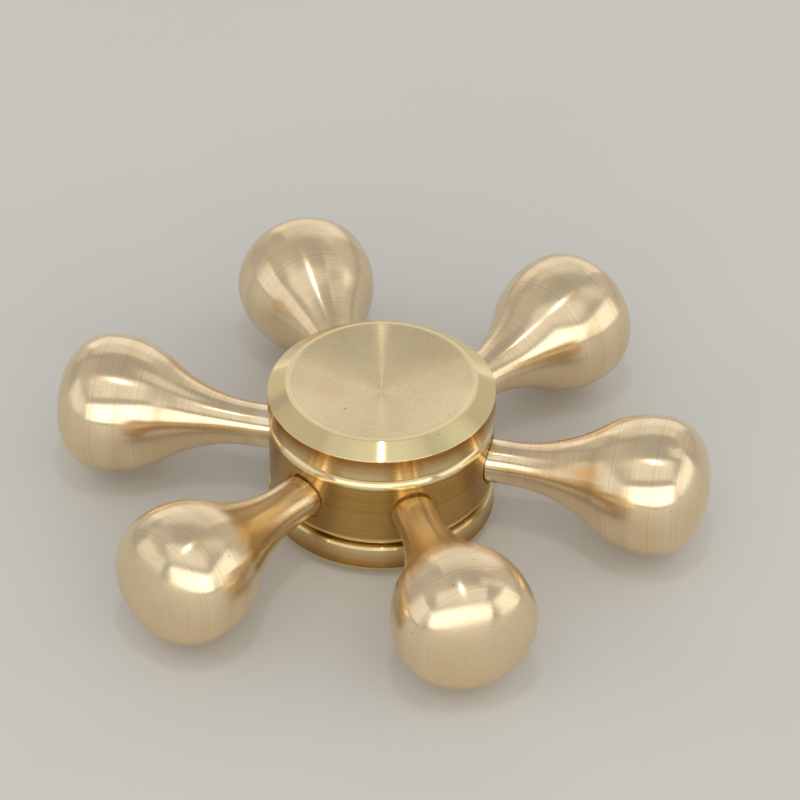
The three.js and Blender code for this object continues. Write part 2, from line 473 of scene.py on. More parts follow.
def cut_away(body: bpy.types.Mesh, cutters: Sequence[tuple[bpy.types.Mesh, Matrix]]) -> bpy.types.Mesh:
    """Cuts several shapes out of a mesh.

    Args:
        body: The mesh to cut.
        cutters: Each shape to take away, with its place.

    Returns:
        The mesh that is left.
    """
    scene = bpy.context.scene
    blank = bpy.data.objects.new("blank", body)
    scene.collection.objects.link(blank)
    tools = bpy.data.collections.new("tools")
    for mesh, place in cutters:
        tool = bpy.data.objects.new("tool", mesh)
        tool.matrix_world = place
        tools.objects.link(tool)
    cut = blank.modifiers.new("cut", "BOOLEAN")
    cut.operation = "DIFFERENCE"
    cut.operand_type = "COLLECTION"
    cut.solver = "EXACT"
    cut.collection = tools
    scene.collection.children.link(tools)
    bpy.context.view_layer.update()
    left = bpy.data.meshes.new_from_object(blank.evaluated_get(bpy.context.evaluated_depsgraph_get()))
    for leftover in [*tools.objects, blank]:
        bpy.data.objects.remove(leftover)
    bpy.data.collections.remove(tools)
    return left


def reface(mesh: bpy.types.Mesh, station_at: Callable[[Vector], Station | None], tolerance: float) -> None:
    """Gives a cut mesh back the smooth facing and the marks of the turned surface around the cuts.

    Args:
        mesh: The cut mesh, in metres.
        station_at: Gives the turned surface's station at a point in mm, or None off that surface.
        tolerance: The angle in radians that a face may lie from the turned surface and still belong to it.
    """
    found = [station_at(vertex.co / MM) for vertex in mesh.vertices]
    plain = Station(Vector(), Vector())
    marks = {
        TOOL_PATH: [vertex.co.z for vertex in mesh.vertices],
        WEAR: [(station or plain).wear for station in found],
        SATIN: [(station or plain).satin for station in found],
        TARNISH_AND_SHADE: [(station or plain).tarnish_and_shade for station in found],
    }
    for name, values in marks.items():
        mark = mesh.attributes.get(name) or mesh.attributes.new(name, "FLOAT", "POINT")
        mark.data.foreach_set("value", values)
    facings = [Vector()] * len(mesh.loops)
    for face in mesh.polygons:
        for loop_index in face.loop_indices:
            vertex = mesh.vertices[mesh.loops[loop_index].vertex_index]
            station = found[vertex.index]
            facing = face.normal
            if station:
                across = Vector((vertex.co.x, vertex.co.y, 0.0)).normalized()
                turned_facing = across * station.facing.x + Vector((0.0, 0.0, station.facing.y))
                if turned_facing.angle(face.normal, math.pi) < tolerance:
                    facing = turned_facing
            facings[loop_index] = facing.copy()
    mesh.shade_smooth()
    mesh.normals_split_custom_set(facings)


# ---------------------------------------------------------------------------------------------------------
# Finishes
# ---------------------------------------------------------------------------------------------------------


def linear(colour: str) -> tuple[float, float, float, float]:
    """Turns an sRGB colour to linear.

    Args:
        colour: Six hex digits, such as "C8A96A".

    Returns:
        Red, green, blue and alpha, from 0 to 1.
    """
    parts = [int(colour[index:index + 2], 16) / 255 for index in (0, 2, 4)]
    red, green, blue = [
        part / 12.92 if part <= 0.04045 else ((part + 0.055) / 1.055) ** 2.4 for part in parts
    ]
    return red, green, blue, 1.0


def add_node(tree: bpy.types.NodeTree, kind: str, settings: Mapping[str | int, Any]) -> bpy.types.Node:
    """Adds a node with its settings and links.

    Args:
        tree: The node tree to add it to.
        kind: The node's type name.
        settings: A value, or the socket that feeds it, by a property's or input's name or an input's number.

    Returns:
        The new node.
    """
    node = tree.nodes.new(kind)
    for key, value in settings.items():
        if isinstance(value, bpy.types.NodeSocket):
            tree.links.new(value, node.inputs[key])
        elif isinstance(key, str) and hasattr(node, key):
            setattr(node, key, value)
        else:
            node.inputs[key].default_value = value
    return node


def new_tree(name: str) -> tuple[bpy.types.Material, bpy.types.NodeTree]:
    """Starts a material.

    Args:
        name: Name of the material.

    Returns:
        The material and its empty node tree.
    """
    material = bpy.data.materials.new(name)
    material.use_nodes = True
    material.node_tree.nodes.clear()
    return material, material.node_tree


@dataclass(frozen=True)
class Ding:
    """A small curved nick in a face, as a fingernail or a fall leaves it.

    Attributes:
        middle: The nick's middle, across and along the spinner, in mm.
        bend: The middle of the circle that the nick follows, in mm.
        width: Width of the nick, in mm.
        reach: Length from the nick's middle to its ends, in mm.
    """

    middle: tuple[float, float]
    bend: tuple[float, float]
    width: float
    reach: float


@dataclass(frozen=True)
class TurnedBrass:
    """Bare brass off the lathe. The tool leaves rings round the spindle, so light spreads across them.

    Attributes:
        name: The finish's name.
        spindle: The axis that the piece was turned about.
        colour: The clean metal, as sRGB hex.
        frosted: The metal where it is grainy, as sRGB hex.
        tarnish_and_shade_colour: The darker metal that tarnishing, painted shade and the tool's marks mix
            towards, as sRGB hex.
        roughness: Roughness of the surface.
        anisotropy: How far the rings stretch a highlight, from 0 to 1.
        ring_pitch: Spacing of the tool's rings, in mm.
        ring_depth: Depth of the rings, in mm.
        band_pitch: Spacing of the broader bands where the feed or pressure changed, in mm.
        streaks: How strongly the rings and bands show as darker metal.
        ding: A nick in the face, or None.
    """

    name: str
    spindle: Spindle
    colour: str
    frosted: str
    tarnish_and_shade_colour: str
    roughness: float
    anisotropy: float
    ring_pitch: float
    ring_depth: float
    band_pitch: float
    streaks: float = 1.0
    ding: Ding | None = None

    # Real grains are about 0.03 mm. They are drawn coarser here, so that the speckle shows.
    GRAIN = 0.14
    PATCH = 5.0
    # Heights are in ring depths.
    GRAIN_HEIGHT = 0.9
    PIT_HEIGHT = 4.0
    PIT_SPACING = 1.9
    PIT_RADIUS = 0.08
    PIT_COLOUR = "A88A58"
    # A pit or nick is at its full depth over this share of its radius, and of the nick's length.
    PIT_FLOOR = 0.5
    NICK_FLOOR = 0.4
    NICK_LENGTH = 0.6
    # How much of the rings is left where the surface is all grain.
    RINGS_IN_GRAIN = 0.2
    # What each mark adds to the share of the darker metal in the colour. The tarnish_and_shade share paints
    # shade as well as tarnishing.
    TARNISH_AND_SHADE_TINT = 1.0
    WEAR_TINT = -0.8
    RING_TINT = 0.9
    BAND_TINT = 0.5
    PATCH_TINT = 0.3
    GRAIN_TINT = 0.7
    # What each mark adds to the roughness.
    SATIN_ROUGHNESS = 0.06
    TARNISH_AND_SHADE_ROUGHNESS = 0.05
    BAND_ROUGHNESS = 0.06
    WEAR_ROUGHNESS = -0.07
    # The shader's tangent runs round the spindle. A quarter turn spreads the light across the rings.
    ACROSS_THE_RINGS = 0.25

    def build(self) -> bpy.types.Material:
        """Builds the finish.

        Returns:
            The material.
        """
        material, tree = new_tree(self.name)
        path, wear, satin, tarnish_and_shade = [
            add_node(tree, "ShaderNodeAttribute", {"attribute_name": name}).outputs["Fac"]
            for name in MARKS
        ]
        place = add_node(tree, "ShaderNodeTexCoord", {}).outputs["Object"]
        noises = [
            add_node(tree, "ShaderNodeTexNoise", settings).outputs["Fac"]
            for settings in (
                {"noise_dimensions": "1D", "Scale": 1 / (self.ring_pitch * MM), "Detail": 2.0, "W": path},
                {"noise_dimensions": "1D", "Scale": 1 / (self.band_pitch * MM), "Detail": 1.0, "W": path},
                {"Scale": 1 / (self.GRAIN * MM), "Detail": 2.0, "Vector": place},
                {"Scale": 1 / (self.PATCH * MM), "Detail": 2.0, "Vector": place},
            )
        ]
        # Each noise is moved to lie about 0.
        rings, bands, grain, patches = [
            add_node(tree, "ShaderNodeMath", {"operation": "SUBTRACT", 0: noise, 1: 0.5}).outputs[0]
            for noise in noises
        ]
        speckle = add_node(tree, "ShaderNodeMath", {"operation": "MULTIPLY", 0: grain, 1: satin}).outputs[0]
        # Where the surface is grainy, the grain breaks up the rings and bands.
        fade = {"Value": satin, "To Min": 1.0, "To Max": self.RINGS_IN_GRAIN}
        ringed = add_node(tree, "ShaderNodeMapRange", fade).outputs["Result"]
        rings, bands = [
            add_node(tree, "ShaderNodeMath", {"operation": "MULTIPLY", 0: mark, 1: ringed}).outputs[0]
            for mark in (rings, bands)
        ]
        hollows = self.hollows(tree, place)
        height = self.weighed(tree, {speckle: self.GRAIN_HEIGHT, rings: 1.0, hollows: -self.PIT_HEIGHT})
        bump = add_node(tree, "ShaderNodeBump", {"Distance": self.ring_depth * MM, "Height": height})
        # Tarnishing and painted shade on sides and walls darken the metal; wear lightens it.
        darkening = self.weighed(
            tree,
            {
                tarnish_and_shade: self.TARNISH_AND_SHADE_TINT,
                wear: self.WEAR_TINT,
                rings: self.RING_TINT * self.streaks,
                bands: self.BAND_TINT * self.streaks,
                patches: self.PATCH_TINT,
                speckle: self.GRAIN_TINT,
            },
        )
        tint = self.tint(tree, satin, darkening, hollows)
        gloss = self.weighed(
            tree,
            {
                satin: self.SATIN_ROUGHNESS,
                tarnish_and_shade: self.TARNISH_AND_SHADE_ROUGHNESS,
                bands: self.BAND_ROUGHNESS,
                patches: self.BAND_ROUGHNESS,
                wear: self.WEAR_ROUGHNESS,
            },
            self.roughness,
        )
        round_spindle = {"direction_type": "RADIAL", "axis": self.spindle.value}
        shader = add_node(
            tree,
            "ShaderNodeBsdfPrincipled",
            {
                "Metallic": 1.0,
                "Anisotropic": self.anisotropy,
                "Anisotropic Rotation": self.ACROSS_THE_RINGS,
                "Base Color": tint,
                "Roughness": gloss,
                "Normal": bump.outputs["Normal"],
                "Tangent": add_node(tree, "ShaderNodeTangent", round_spindle).outputs["Tangent"],
            },
        )
        add_node(tree, "ShaderNodeOutputMaterial", {"Surface": shader.outputs["BSDF"]})
        return material

    @staticmethod
    def weighed(
        tree: bpy.types.NodeTree, weights: Mapping[bpy.types.NodeSocket, float], start: float = 0.0
    ) -> bpy.types.NodeSocket:
        """Sums several marks on the metal.

        Args:
            tree: The material's node tree.
            weights: How much each mark counts.
            start: The sum where there are no marks.

        Returns:
            The sum.
        """
        total: bpy.types.NodeSocket | float = start
        for mark, weight in weights.items():
            step = {"operation": "MULTIPLY_ADD", 0: mark, 1: weight, 2: total}
            total = add_node(tree, "ShaderNodeMath", step).outputs[0]
        return total

    def tint(
        self,
        tree: bpy.types.NodeTree,
        satin: bpy.types.NodeSocket,
        darkening: bpy.types.NodeSocket,
        hollows: bpy.types.NodeSocket,
    ) -> bpy.types.NodeSocket:
        """Colours the metal.

        Args:
            tree: The material's node tree.
            satin: How grainy the surface is, from 0 to 1.
            darkening: How far tarnishing, painted shade and the tool's marks darken the metal, from 0 to 1.
            hollows: 1 in the dirt of a pit or nick, otherwise 0.

        Returns:
            The colour.
        """
        colour: bpy.types.NodeSocket | tuple[float, float, float, float] = linear(self.colour)
        for share, layer in [(satin, self.frosted), (darkening, self.tarnish_and_shade_colour), (hollows, self.PIT_COLOUR)]:
            step = {"data_type": "RGBA", 0: share, 6: colour, 7: linear(layer)}
            colour = add_node(tree, "ShaderNodeMix", step).outputs[2]
        return colour

    def hollows(self, tree: bpy.types.NodeTree, place: bpy.types.NodeSocket) -> bpy.types.NodeSocket:
        """Scatters the small pits of cast bar stock, and adds the ding.

        Args:
            tree: The material's node tree.
            place: The point in space.

        Returns:
            1 in a pit or in the nick, otherwise 0.
        """
        spacing = {"Scale": 1 / (self.PIT_SPACING * MM), "Vector": place}
        to_pit = add_node(tree, "ShaderNodeTexVoronoi", spacing).outputs["Distance"]
        rim = self.PIT_RADIUS / self.PIT_SPACING
        depth = {"Value": to_pit, "From Min": rim, "From Max": rim * self.PIT_FLOOR}
        pits = add_node(tree, "ShaderNodeMapRange", depth).outputs["Result"]
        if not self.ding:
            return pits
        both = {"operation": "MAXIMUM", 0: pits, 1: self.nick(tree, place, self.ding)}
        return add_node(tree, "ShaderNodeMath", both).outputs[0]

    def nick(self, tree: bpy.types.NodeTree, place: bpy.types.NodeSocket, ding: Ding) -> bpy.types.NodeSocket:
        """Draws a ding as a short arc.

        Args:
            tree: The material's node tree.
            place: The point in space.
            ding: The ding.

        Returns:
            1 along the middle of the nick, falling to 0 at its edges and ends.
        """
        flat = add_node(tree, "ShaderNodeVectorMath", {"operation": "MULTIPLY", 0: place, 1: (1.0, 1.0, 0.0)})
        to_bend, to_middle = [
            add_node(
                tree,
                "ShaderNodeVectorMath",
                {"operation": "DISTANCE", 0: flat.outputs[0], 1: (point[0] * MM, point[1] * MM, 0.0)},
            ).outputs["Value"]
            for point in (ding.bend, ding.middle)
        ]
        radius = (Vector(ding.bend) - Vector(ding.middle)).length * MM
        past = add_node(tree, "ShaderNodeMath", {"operation": "SUBTRACT", 0: to_bend, 1: radius}).outputs[0]
        to_arc = add_node(tree, "ShaderNodeMath", {"operation": "ABSOLUTE", 0: past}).outputs[0]
        across, along = [
            add_node(
                tree,
                "ShaderNodeMapRange",
                {"Value": distance, "From Min": limit * MM, "From Max": limit * full * MM},
            ).outputs["Result"]
            for distance, limit, full in [
                (to_arc, ding.width, self.NICK_FLOOR),
                (to_middle, ding.reach, self.NICK_LENGTH),
            ]
        ]
        return add_node(tree, "ShaderNodeMath", {"operation": "MULTIPLY", 0: across, 1: along}).outputs[0]


@dataclass(frozen=True)
class BearingSteel:
    """Stainless bearing steel, ground, lapped or pressed. Finer work leaves a brighter, clearer surface.

    Attributes:
        name: The finish's name.
        colour: The metal, as sRGB hex.
        dull: The metal in its marks, as sRGB hex.
        roughness: Roughness of the surface.
        scratch: Width of the work's marks, in mm.
        depth: Depth of the marks, in mm.
    """

    name: str
    colour: str
    dull: str
    roughness: float
    scratch: float
    depth: float

    ROUGHNESS_SPREAD = 0.2

    def build(self) -> bpy.types.Material:
        """Builds the finish.

        Returns:
            The material.
        """
        material, tree = new_tree(self.name)
        place = add_node(tree, "ShaderNodeTexCoord", {}).outputs["Object"]
        marks = add_node(
            tree,
            "ShaderNodeTexNoise",
            {"Scale": 1 / (self.scratch * MM), "Detail": 3.0, "Vector": place},
        ).outputs["Fac"]
        bump = add_node(tree, "ShaderNodeBump", {"Distance": self.depth * MM, "Height": marks})
        gloss = {
            "Value": marks,
            "To Min": self.roughness * (1 - self.ROUGHNESS_SPREAD),
            "To Max": self.roughness * (1 + self.ROUGHNESS_SPREAD),
        }
        tint = {"data_type": "RGBA", 0: marks, 6: linear(self.colour), 7: linear(self.dull)}
        shader = add_node(
            tree,
            "ShaderNodeBsdfPrincipled",
            {
                "Metallic": 1.0,
                "Base Color": add_node(tree, "ShaderNodeMix", tint).outputs[2],
                "Roughness": add_node(tree, "ShaderNodeMapRange", gloss).outputs["Result"],
                "Normal": bump.outputs["Normal"],
            },
        )
        add_node(tree, "ShaderNodeOutputMaterial", {"Surface": shader.outputs["BSDF"]})
        return material


@dataclass(frozen=True)
class MattLaminate:
    """A pale matt table top. Its faint mottle keeps it from looking like empty white.

    Attributes:
        colour: The laminate, as sRGB hex.
        shade: Its darker mottle, as sRGB hex.
        roughness: Roughness of the surface.
        mottle: Size of the mottle's patches, in mm.
    """

    colour: str = "DEDCD8"
    shade: str = "D8D6D2"
    roughness: float = 0.6
    mottle: float = 35.0

    def build(self) -> bpy.types.Material:
        """Builds the finish.

        Returns:
            The material.
        """
        material, tree = new_tree("matt_laminate")
        place = add_node(tree, "ShaderNodeTexCoord", {}).outputs["Object"]
        mottle = add_node(
            tree,
            "ShaderNodeTexNoise",
            {"Scale": 1 / (self.mottle * MM), "Detail": 4.0, "Vector": place},
        ).outputs["Fac"]
        tint = {"data_type": "RGBA", 0: mottle, 6: linear(self.colour), 7: linear(self.shade)}
        shader = add_node(
            tree,
            "ShaderNodeBsdfPrincipled",
            {"Roughness": self.roughness, "Base Color": add_node(tree, "ShaderNodeMix", tint).outputs[2]},
        )
        add_node(tree, "ShaderNodeOutputMaterial", {"Surface": shader.outputs["BSDF"]})
        return material


@dataclass
class Finishes:
    """Every finish on the spinner, made once."""

    button: bpy.types.Material
    hub: bpy.types.Material
    arm: bpy.types.Material
    ground: bpy.types.Material
    lapped: bpy.types.Material
    pressed: bpy.types.Material

    @classmethod
    def make(cls) -> "Finishes":
        """Makes each finish.

        Returns:
            The finishes.
        """
        return cls(
            # Finger discs are faced with a fine feed and kept bright by use: pale, even and silky.
            button=TurnedBrass(
                name="faced_brass",
                spindle=Spindle.Z,
                colour="F0DCA6",
                frosted="F2DEB4",
                # The darker metal stands for tarnishing and for painted shade on the side.
                tarnish_and_shade_colour="A97433",
                roughness=0.2,
                anisotropy=1.0,
                ring_pitch=0.18,
                ring_depth=0.0016,
                band_pitch=1.2,
                streaks=0.5,
                ding=Ding(middle=(-2.52, -3.71), bend=(-1.45, -4.45), width=0.07, reach=0.34),
            ).build(),
            # The hub is turned with a coarser feed, so faint lines run round its wall.
            hub=TurnedBrass(
                name="turned_brass",
                spindle=Spindle.Z,
                colour="F2DFB0",
                frosted="EBD0A0",
                # The darker metal stands for tarnishing and for painted shade on the wall.
                tarnish_and_shade_colour="B58B45",
                roughness=0.17,
                anisotropy=0.9,
                ring_pitch=0.2,
                ring_depth=0.0035,
                band_pitch=1.1,
                streaks=0.5,
            ).build(),
            # The arms are form-turned. Their rings show as fine stripes across each arm.
            arm=TurnedBrass(
                name="form_turned_brass",
                spindle=Spindle.X,
                colour="FAE9CB",
                frosted="F0D8B0",
                tarnish_and_shade_colour="D9B37C",
                roughness=0.18,
                anisotropy=0.85,
                ring_pitch=0.24,
                ring_depth=0.0045,
                band_pitch=1.4,
                streaks=0.6,
            ).build(),
            # Races are ground: bright, with a slight haze.
            ground=BearingSteel(
                name="ground_bearing_steel",
                colour="C9CCD0",
                dull="B7BABD",
                roughness=0.2,
                scratch=0.2,
                depth=0.0008,
            ).build(),
            # Balls are lapped to a mirror.
            lapped=BearingSteel(
                name="lapped_ball_steel",
                colour="DDDFE2",
                dull="D0D2D5",
                roughness=0.07,
                scratch=0.4,
                depth=0.0001,
            ).build(),
            # The cage, shields and rings keep the dull skin of rolled sheet.
            pressed=BearingSteel(
                name="pressed_stainless_sheet",
                colour="B0B3B7",
                dull="A0A3A7",
                roughness=0.36,
                scratch=0.12,
                depth=0.0012,
            ).build(),
        )


# ---------------------------------------------------------------------------------------------------------
# Sub-assemblies
# ---------------------------------------------------------------------------------------------------------


@dataclass
class FingerButton:
    """One of the two finger buttons, drawn as the top one. Sizes in mm, heights from the middle of the hub.

    The top button screws into the bottom one through the bearing. Both clamp its inner race.
    """

    node: str
    faces_up: bool
    facets: int = 180
    radius: float = 10.5
    half_height: float = 7.385
    side_top: float = 6.35
    rubbed_unshaded_rim: float = 0.12
    inner_face: float = 3.97
    inner_edge: float = 0.2
    land_outer: float = 8.85
    land_inner: float = 8.55
    dish_depth: float = 1.2
    dish_steps: int = 40
    boss_radius: float = 4.1
    boss_face: float = 2.401
    stud_radius: float = 1.95
    stud_length: float = 5.2
    stud_bevel: float = 0.4
    sleeve_radius: float = 3.1
    sleeve_top: float = 2.1
    hole_radius: float = 2.1
    hole_floor: float = 4.4
    hole_bevel: float = 0.2
    thread_pitch: float = 0.7
    thread_depth: float = 0.36
    thread_lead: float = 0.5
    thread_relief: float = 0.6
    tap_relief: float = 0.8

    def face(self) -> list[Corner]:
        """Draws the outside of the button.

        Returns:
            The outline from the edge of the inner face, up the side and over to the dish's middle.
        """
        # Tarnishing on the side, which fingers don't reach, is mixed with painted shade: the side is darkened
        # as if it reflected a dark table, and the edge next to the hub as if it lay in the gap's shadow. The
        # painted shade stops at the rubbed rim on top of the side. The bevel and the dish are kept bright.
        outline = [
            Corner(self.radius - self.inner_edge, self.inner_face, edge=0.06, tarnish_and_shade=1.0),
            Corner(self.radius, self.inner_face + self.inner_edge, edge=0.06, tarnish_and_shade=1.0),
            Corner(self.radius, self.side_top - self.rubbed_unshaded_rim, tarnish_and_shade=1.0),
            Corner(self.radius, self.side_top, edge=0.08, satin=0.3, tarnish_and_shade=0.12),
            Corner(self.land_outer, self.half_height, edge=0.12, satin=0.35, tarnish_and_shade=0.12),
            Corner(self.land_inner, self.half_height, edge=0.1, satin=0.8, tarnish_and_shade=0.05),
        ]
        curve = (self.land_inner ** 2 + self.dish_depth ** 2) / (2 * self.dish_depth)
        centre = self.half_height - self.dish_depth + curve
        for step in range(1, self.dish_steps + 1):
            radius = self.land_inner * (1 - step / self.dish_steps)
            height = centre - math.sqrt(curve ** 2 - radius ** 2)
            outline.append(Corner(radius, height, satin=1.0, tarnish_and_shade=0.1))
        return outline

    def stud(self) -> tuple[list[Corner], Thread]:
        """Draws the boss with its male stud.

        Returns:
            The outline, and the thread on the stud.
        """
        tip = self.boss_face - self.stud_length
        thread = Thread(
            start=tip + self.thread_lead,
            end=self.boss_face - self.thread_relief,
            radius=self.stud_radius,
            pitch=self.thread_pitch,
            depth=self.thread_depth,
        )
        return [
            Corner(0.0, tip),
            Corner(self.stud_radius - self.stud_bevel, tip, edge=0.1),
            Corner(self.stud_radius, tip + self.stud_bevel),
            *thread.corners(),
            Corner(self.stud_radius, self.boss_face, edge=0.1),
            Corner(self.boss_radius, self.boss_face, edge=0.15),
            Corner(self.boss_radius, self.inner_face, edge=0.2),
        ], thread

    def sleeve(self) -> tuple[list[Corner], Thread]:
        """Draws the boss with its tapped sleeve, upside down.

        Returns:
            The outline, and the thread in the sleeve.
        """
        thread = Thread(
            start=self.hole_floor - self.tap_relief,
            end=-self.sleeve_top + self.thread_lead,
            radius=self.hole_radius,
            pitch=self.thread_pitch,
            depth=self.thread_depth,
        )
        return [
            Corner(0.0, self.hole_floor),
            Corner(self.hole_radius, self.hole_floor, edge=0.2),
            *thread.corners(),
            Corner(self.hole_radius, -self.sleeve_top + self.hole_bevel),
            Corner(self.hole_radius + self.hole_bevel, -self.sleeve_top, edge=0.05),
            Corner(self.sleeve_radius, -self.sleeve_top, edge=0.2),
            Corner(self.sleeve_radius, self.boss_face, edge=0.1),
            Corner(self.boss_radius, self.boss_face, edge=0.15),
            Corner(self.boss_radius, self.inner_face, edge=0.2),
        ], thread

    def build(self, finishes: Finishes) -> None:
        """Builds the button.

        Args:
            finishes: The spinner's finishes.
        """
        inside, thread = self.stud() if self.faces_up else self.sleeve()
        corners = inside + self.face()
        if not self.faces_up:
            corners = mirrored(corners)
            thread = replace(thread, start=-thread.end, end=-thread.start)
        mesh = turned(self.node, corners, self.facets, threads=[thread])
        fit_piece(self.node, mesh, finishes.button, at_mid_height())


@dataclass
class Hub:
    """The ring that the arms screw into and the bearing presses into. Sizes in mm."""

    facets: int = 180
    radius: float = 10.4
    half_height: float = 3.87
    edge: float = 1.0
    bore: float = 6.37
    shoulder: float = 5.6
    shoulder_face: float = -2.401
    seat_radius: float = 2.3
    seat_at: float = 10.12
    tapped_radius: float = 1.6
    tapped_depth: float = 2.8
    thread_pitch: float = 0.5
    thread_depth: float = 0.27
    thread_lead: float = 0.3
    socket_facets: int = 48
    socket_overrun: float = 1.0
    facing_tolerance: float = math.radians(12)

    # Tarnishing on the wall between the arms is mixed with painted shade, as if the wall reflected a dark
    # table. Fingers rub the rounded edges.
    WALL_TARNISH_AND_SHADE = 0.9
    EDGE_TARNISH_AND_SHADE = 0.1
    EDGE_WEAR = 0.3

    def ring(self) -> list[Corner]:
        """Returns the ring's outline."""
        return [
            Corner(self.shoulder, -self.half_height, edge=0.2),
            Corner(self.radius, -self.half_height, edge=self.edge),
            Corner(self.radius, 0.0),
            Corner(self.radius, self.half_height, edge=self.edge),
            Corner(self.bore, self.half_height, edge=0.3),
            Corner(self.bore, self.shoulder_face, edge=0.1),
            Corner(self.shoulder, self.shoulder_face, edge=0.1),
        ]

    def socket(self) -> bpy.types.Mesh:
        """Shapes the plug that cuts one arm's flat seat and tapped hole.

        Returns:
            The plug, along +X.
        """
        floor = self.seat_at - self.tapped_depth
        end = self.radius + self.socket_overrun
        thread = Thread(
            start=floor + self.thread_lead,
            end=self.seat_at - self.thread_lead,
            radius=self.tapped_radius,
            pitch=self.thread_pitch,
            depth=self.thread_depth,
        )
        corners = [
            Corner(0.0, floor),
            Corner(self.tapped_radius, floor),
            *thread.corners(),
            Corner(self.tapped_radius, self.seat_at),
            Corner(self.seat_radius, self.seat_at),
            Corner(self.seat_radius, end),
            Corner(0.0, end),
        ]
        return turned("socket", corners, self.socket_facets, spindle=Spindle.X, threads=[thread])

    def station_at(self, point: Vector) -> Station | None:
        """Gives the turned surface's facing and marks at a point on the outside of the ring.

        Args:
            point: The point, in mm.

        Returns:
            The station there, or None inside the ring.
        """
        radius = math.hypot(point.x, point.y)
        rim = self.radius - self.edge
        shelf = self.half_height - self.edge
        if radius < rim:
            return None
        if abs(point.z) <= shelf:
            return Station(Vector(), Vector((1.0, 0.0)), tarnish_and_shade=self.WALL_TARNISH_AND_SHADE)
        side = math.copysign(1.0, point.z)
        facing = Vector((radius - rim, (abs(point.z) - shelf) * side)).normalized()
        return Station(Vector(), facing, self.EDGE_WEAR, tarnish_and_shade=self.EDGE_TARNISH_AND_SHADE)

    def build(self, finishes: Finishes, arm_angles: Sequence[float]) -> None:
        """Builds the hub with its sockets.

        Args:
            finishes: The spinner's finishes.
            arm_angles: Each arm's angle round the spin axis, in radians.
        """
        ring = turned("hub", self.ring(), self.facets, closed=True)
        sockets = [(self.socket(), Matrix.Rotation(angle, 4, "Z")) for angle in arm_angles]
        mesh = cut_away(ring, sockets)
        reface(mesh, self.station_at, self.facing_tolerance)
        fit_piece("hub", mesh, finishes.hub, at_mid_height())


@dataclass
class Arm:
    """One screwed-in arm: a straight neck, a hollow flare, a round swell and a blunt nose. Sizes in mm."""

    facets: int = 128
    root: float = 10.15
    neck_radius: float = 2.05
    flare_start: float = 12.2
    flare_arc: float = 14.0
    bulb_radius: float = 6.5
    bulb_at: float = 25.8
    tip_at: float = 30.8
    nose_power: float = 2.3
    flare_steps: int = 26
    swell_steps: int = 14
    nose_steps: int = 34
    screw_radius: float = 1.5
    screw_length: float = 2.6
    screw_bevel: float = 0.3
    thread_pitch: float = 0.5
    thread_depth: float = 0.27
    thread_lead: float = 0.35

    def body(self) -> list[Corner]:
        """Draws the part of the arm that shows.

        Returns:
            The outline of the neck, flare, swell and nose.
        """
        rise = self.bulb_radius - self.neck_radius
        run = self.bulb_at - self.flare_start
        both_arcs = (run ** 2 + rise ** 2) / (2 * rise)
        swell_arc = both_arcs - self.flare_arc
        flare_end = self.flare_start + run * self.flare_arc / both_arcs
        outline = [Corner(self.neck_radius, self.root, edge=0.12)]
        for step in range(self.flare_steps):
            along = (flare_end - self.flare_start) * step / self.flare_steps
            hollow = self.flare_arc - math.sqrt(self.flare_arc ** 2 - along ** 2)
            outline.append(Corner(self.neck_radius + hollow, self.flare_start + along))
        for step in range(self.swell_steps):
            left = (self.bulb_at - flare_end) * (1 - step / self.swell_steps)
            fall = swell_arc - math.sqrt(swell_arc ** 2 - left ** 2)
            outline.append(Corner(self.bulb_radius - fall, self.bulb_at - left))
        power = 2 / self.nose_power
        for step in range(self.nose_steps):
            angle = math.pi / 2 * step / self.nose_steps
            radius = self.bulb_radius * math.cos(angle) ** power
            height = self.bulb_at + (self.tip_at - self.bulb_at) * math.sin(angle) ** power
            outline.append(Corner(radius, height))
        outline.append(Corner(0.0, self.tip_at))
        return outline

    def build(self, number: int, angle: float, finishes: Finishes) -> None:
        """Builds one arm.

        Args:
            number: The arm's number, from 1.
            angle: Its angle round the spin axis, in radians.
            finishes: The spinner's finishes.
        """
        tip = self.root - self.screw_length
        thread = Thread(
            start=tip + self.thread_lead,
            end=self.root - self.thread_lead,
            radius=self.screw_radius,
            pitch=self.thread_pitch,
            depth=self.thread_depth,
        )
        corners = [
            Corner(0.0, tip),
            Corner(self.screw_radius - self.screw_bevel, tip, edge=0.05),
            Corner(self.screw_radius, tip + self.screw_bevel),
            *thread.corners(),
            Corner(self.screw_radius, self.root, edge=0.05),
            *self.body(),
        ]
        node = f"arm_{number}"
        mesh = turned(node, corners, self.facets, spindle=Spindle.X, threads=[thread])
        fit_piece(node, mesh, finishes.arm, at_mid_height(angle))


